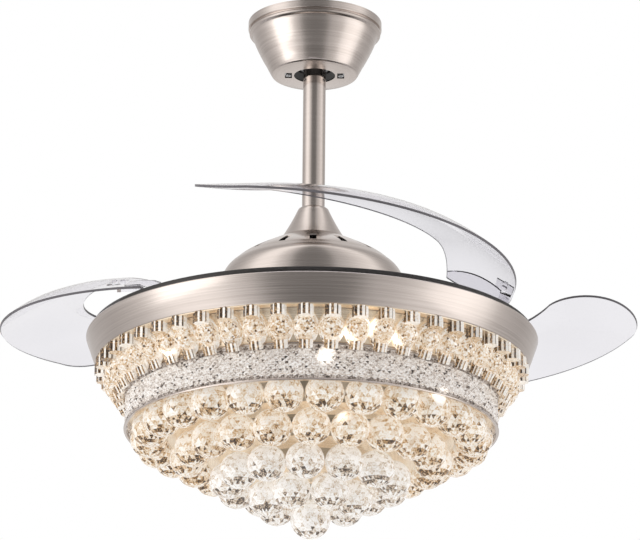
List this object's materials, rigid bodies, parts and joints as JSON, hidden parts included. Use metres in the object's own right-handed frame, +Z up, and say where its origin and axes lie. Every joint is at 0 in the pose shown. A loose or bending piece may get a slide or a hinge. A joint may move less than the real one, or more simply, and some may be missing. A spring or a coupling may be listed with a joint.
{
  "type": "crystal ceiling fan",
  "caption": "Ceiling fan with folding clear blades on a geared turning deck, a nickel ring and a stepped crystal light below, hung by a ball and rod.",
  "frame": {"origin": "centre of the ceiling bracket's top face, on the ceiling plane and the fan's axis", "axes": "+Z up into the ceiling along the fan's axis, -Y towards the pictured front, +X to its right"},
  "size_m": [0.7208, 0.6733, 0.602],
  "materials": {
    "nickel": "warm brushed nickel",
    "zinc_steel": "zinc-plated steel",
    "black_paint": "satin black paint",
    "lamination": "stacked electrical steel",
    "copper": "enamelled copper wire",
    "magnet": "bare ferrite",
    "white_plastic": "white moulded plastic",
    "acetal": "natural acetal",
    "champagne": "champagne anodised",
    "crystal": "clear faceted crystal acrylic",
    "blade_plastic": "clear polycarbonate"
  },
  "bodies": {
    "ceiling_mount": {"ceiling_bracket": "zinc_steel", "canopy": "nickel", "canopy_screw_1": "zinc_steel", "canopy_screw_2": "zinc_steel", "remote_receiver": "white_plastic"},
    "hanging_frame": {"hanger_ball": "black_paint", "ball_cross_pin": "zinc_steel", "downrod": "nickel", "coupling_cover": "nickel", "motor_yoke": "zinc_steel", "yoke_pin": "zinc_steel", "motor_dome": "nickel", "hollow_shaft": "zinc_steel", "stator_core": "lamination", "stator_winding": "copper", "light_pan": "zinc_steel", "pan_nut": "zinc_steel", "nickel_ring": "nickel", "led_driver": "white_plastic", "led_board": "white_plastic", "crystal_carrier": "champagne", "jewel_ring": "crystal", "pattern_band": "crystal", "band_top_rim": "nickel", "band_bottom_rim": "nickel", "crystal_tier_1": "crystal", "crystal_tier_2": "crystal", "crystal_tier_3": "crystal", "crystal_tier_4": "crystal", "bottom_crystal": "crystal"},
    "rotor": {"rotor_shell_lower": "black_paint", "rotor_shell_upper": "black_paint", "magnet_ring": "magnet", "lower_bearing": "zinc_steel", "upper_bearing": "zinc_steel", "blade_deck": "black_paint", "pivot_pin_1": "zinc_steel", "pivot_pin_2": "zinc_steel", "pivot_pin_3": "zinc_steel", "blade_spring_1": "zinc_steel", "blade_spring_2": "zinc_steel", "blade_spring_3": "zinc_steel", "ring_spool_1": "acetal", "ring_spool_2": "acetal", "ring_spool_3": "acetal"},
    "sync_gear": {"sync_ring": "acetal"},
    "folding_blade_1": {"blade_1": "blade_plastic", "blade_arm_1": "black_paint", "blade_gear_1": "acetal", "blade_clamp_1": "zinc_steel"},
    "folding_blade_2": {"blade_2": "blade_plastic", "blade_arm_2": "black_paint", "blade_gear_2": "acetal", "blade_clamp_2": "zinc_steel"},
    "folding_blade_3": {"blade_3": "blade_plastic", "blade_arm_3": "black_paint", "blade_gear_3": "acetal", "blade_clamp_3": "zinc_steel"}
  },
  "joints": [
    {"name": "hanger_tilt", "type": "hinge", "parent": "ceiling_mount", "child": "hanging_frame", "pos_m": [0, 0, -0.04], "axis": [1, 0, 0], "range_deg": [-20, 20]},
    {"name": "fan_spin", "type": "hinge", "parent": "hanging_frame", "child": "rotor", "pos_m": [0, 0, -0.377], "axis": [0, 0, 1], "continuous": true},
    {"name": "blade_1_fold", "type": "hinge", "parent": "rotor", "child": "folding_blade_1", "pos_m": [0.20541, -0.08551, -0.377], "axis": [0, 0, 1], "range_deg": [-37.6, 44.4]},
    {"name": "blade_2_fold", "type": "hinge", "parent": "rotor", "child": "folding_blade_2", "pos_m": [-0.02866, 0.22065, -0.377], "axis": [0, 0, 1], "range_deg": [-37.6, 44.4]},
    {"name": "blade_3_fold", "type": "hinge", "parent": "rotor", "child": "folding_blade_3", "pos_m": [-0.17676, -0.13514, -0.377], "axis": [0, 0, 1], "range_deg": [-37.6, 44.4]},
    {"name": "sync_ring_turn", "type": "hinge", "parent": "rotor", "child": "sync_gear", "pos_m": [0, 0, -0.377], "axis": [0, 0, 1], "range_deg": [-5.2, 4.4]}
  ],
  "couplings": [
    {"joint": "blade_2_fold", "follows": "blade_1_fold", "ratio": 1},
    {"joint": "blade_3_fold", "follows": "blade_1_fold", "ratio": 1},
    {"joint": "sync_ring_turn", "follows": "blade_1_fold", "ratio": -0.1125}
  ]
}
